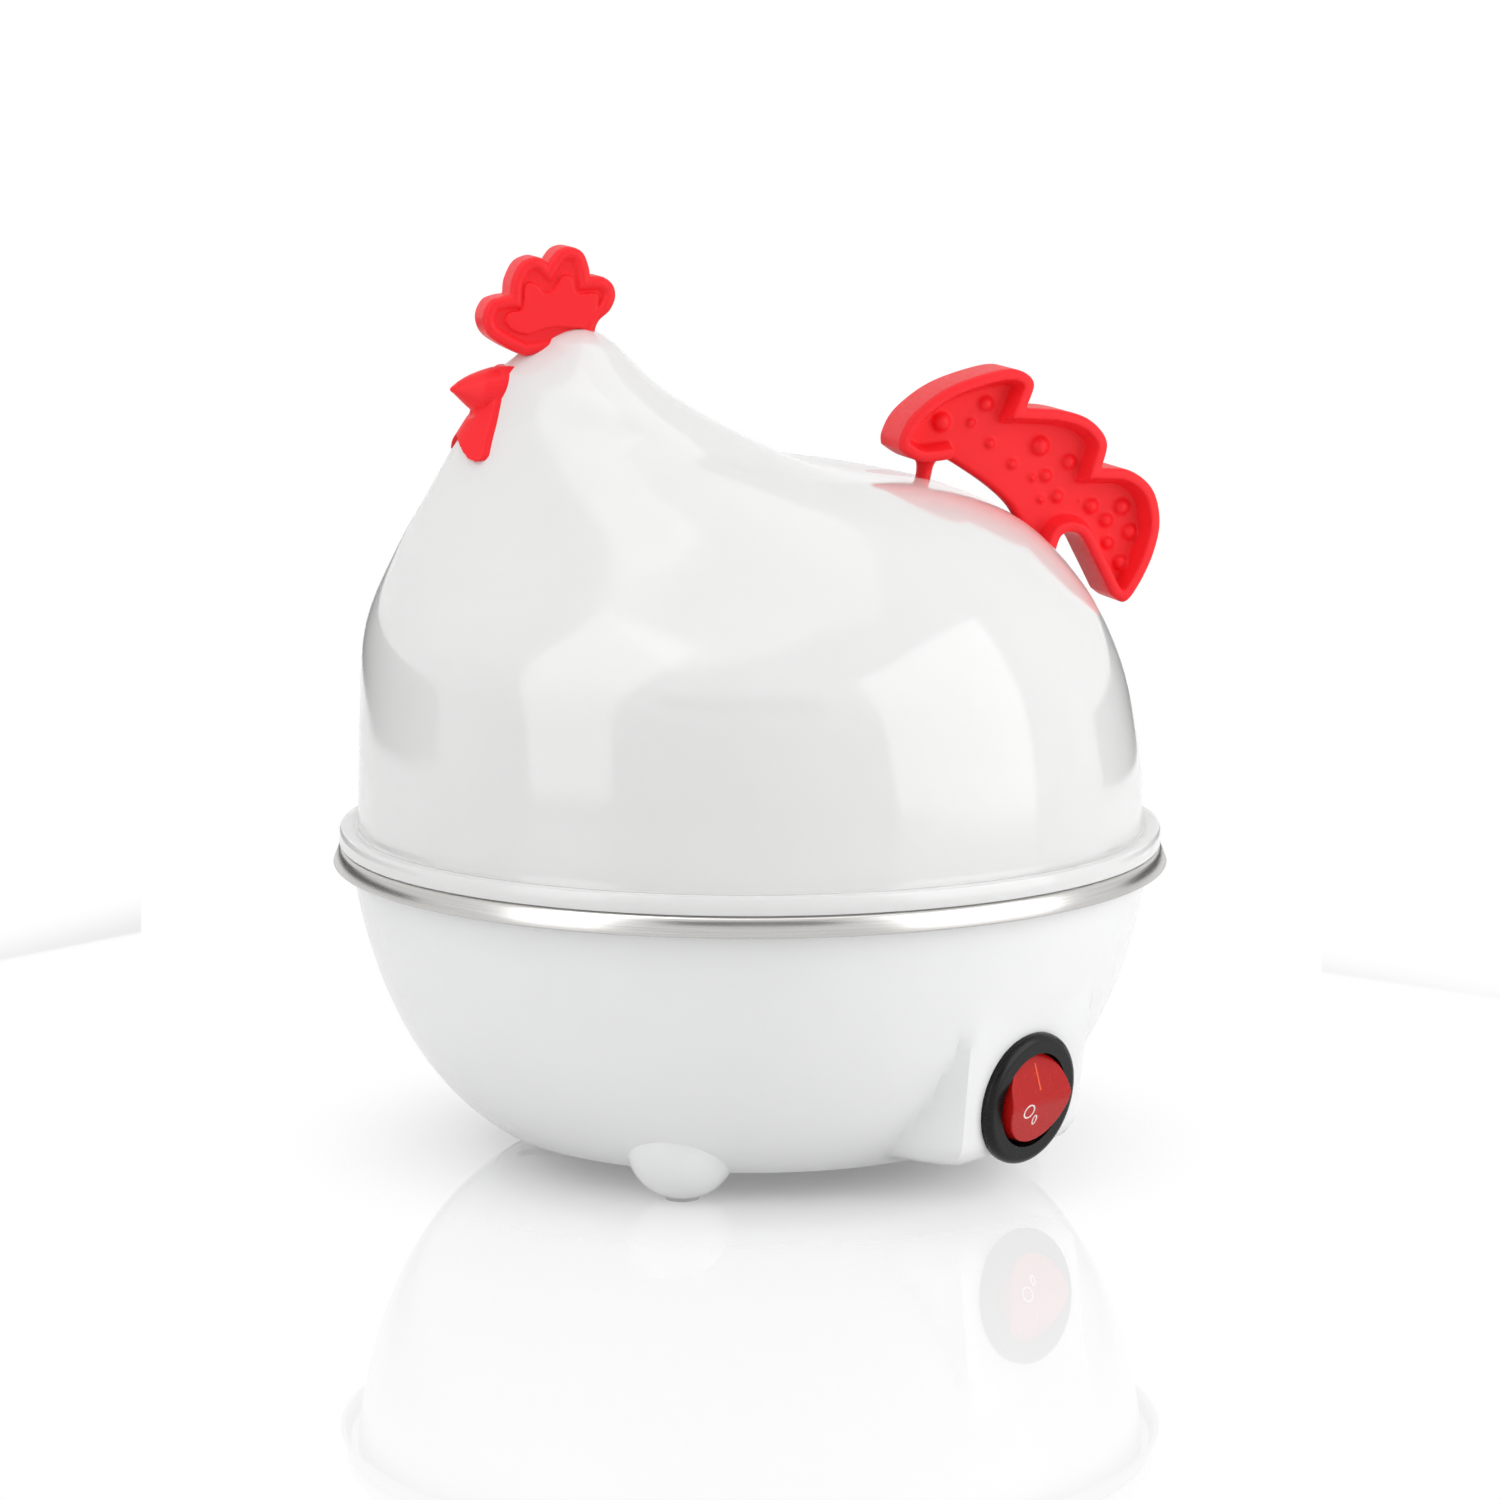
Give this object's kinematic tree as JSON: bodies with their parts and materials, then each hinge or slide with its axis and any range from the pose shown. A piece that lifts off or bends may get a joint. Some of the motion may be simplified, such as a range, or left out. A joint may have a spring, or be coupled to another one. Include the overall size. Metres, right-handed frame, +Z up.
{
  "type": "egg cooker",
  "caption": "Hen-shaped electric egg steamer: white bowl base with steel pan and rocker switch, lift-off milky dome with red comb, beak and tail handle, and an egg rack.",
  "frame": {"origin": "on the table under the centre of the round base", "axes": "+Z up; the hen looks along -X, its tail points along +X, and the switch is on the -Y side towards the tail"},
  "size_m": [0.1521, 0.152, 0.1642],
  "materials": {
    "white_plastic": "glossy white polypropylene",
    "milky_lid": "milky, slightly see-through glossy polypropylene",
    "red_plastic": "semi-gloss red plastic",
    "red_rocker": "clear red plastic",
    "black_plastic": "fine satin black",
    "rack_plastic": "satin white polypropylene",
    "brushed_steel": "brushed round the rim",
    "cast_aluminium": "as cast",
    "heater_steel": "dull sheath",
    "zinc_steel": "zinc plated",
    "fuse_metal": "plain",
    "brass": "plain",
    "lamp_glass": "clear",
    "lead_insulation": "silicone insulation",
    "pad_rubber": "matt",
    "seal_rubber": "matt"
  },
  "bodies": {
    "base": {"base_housing": "white_plastic", "foot_pads": "pad_rubber", "heating_pan": "brushed_steel", "pan_gasket": "seal_rubber", "heater_plate": "cast_aluminium", "heater_tube": "heater_steel", "heater_pins": "heater_steel", "thermostat": "black_plastic", "thermostat_screws": "zinc_steel", "thermal_fuse": "fuse_metal", "fuse_clip": "heater_steel", "pan_posts": "zinc_steel", "base_screws": "zinc_steel", "switch_frame": "black_plastic", "switch_terminals": "brass", "neon_lamp": "lamp_glass", "lead_switch": "lead_insulation", "lead_heater": "lead_insulation", "lead_fuse": "lead_insulation", "cord_gland": "white_plastic", "gland_nut": "white_plastic"},
    "egg_rack": {"egg_rack": "rack_plastic"},
    "lid": {"lid_shell": "milky_lid", "comb": "red_plastic", "beak": "red_plastic", "tail_handle": "red_plastic", "tail_strip": "red_plastic", "tail_screws": "zinc_steel"},
    "rocker": {"switch_rocker": "red_rocker"}
  },
  "joints": [
    {"name": "lid_lift", "type": "slide", "parent": "base", "child": "lid", "axis": [0, 0, 1], "range_m": [0, 0.2]},
    {"name": "rack_lift", "type": "slide", "parent": "base", "child": "egg_rack", "axis": [0, 0, 1], "range_m": [0, 0.09]},
    {"name": "rocker_tilt", "type": "hinge", "parent": "base", "child": "rocker", "pos_m": [0.0334, -0.05344, 0.01829], "axis": [0.848, 0.5299, 0], "range_deg": [0, 14]}
  ],
  "couplings": [
    {"joint": "rack_lift", "follows": "lid_lift", "ratio": 0.45}
  ]
}
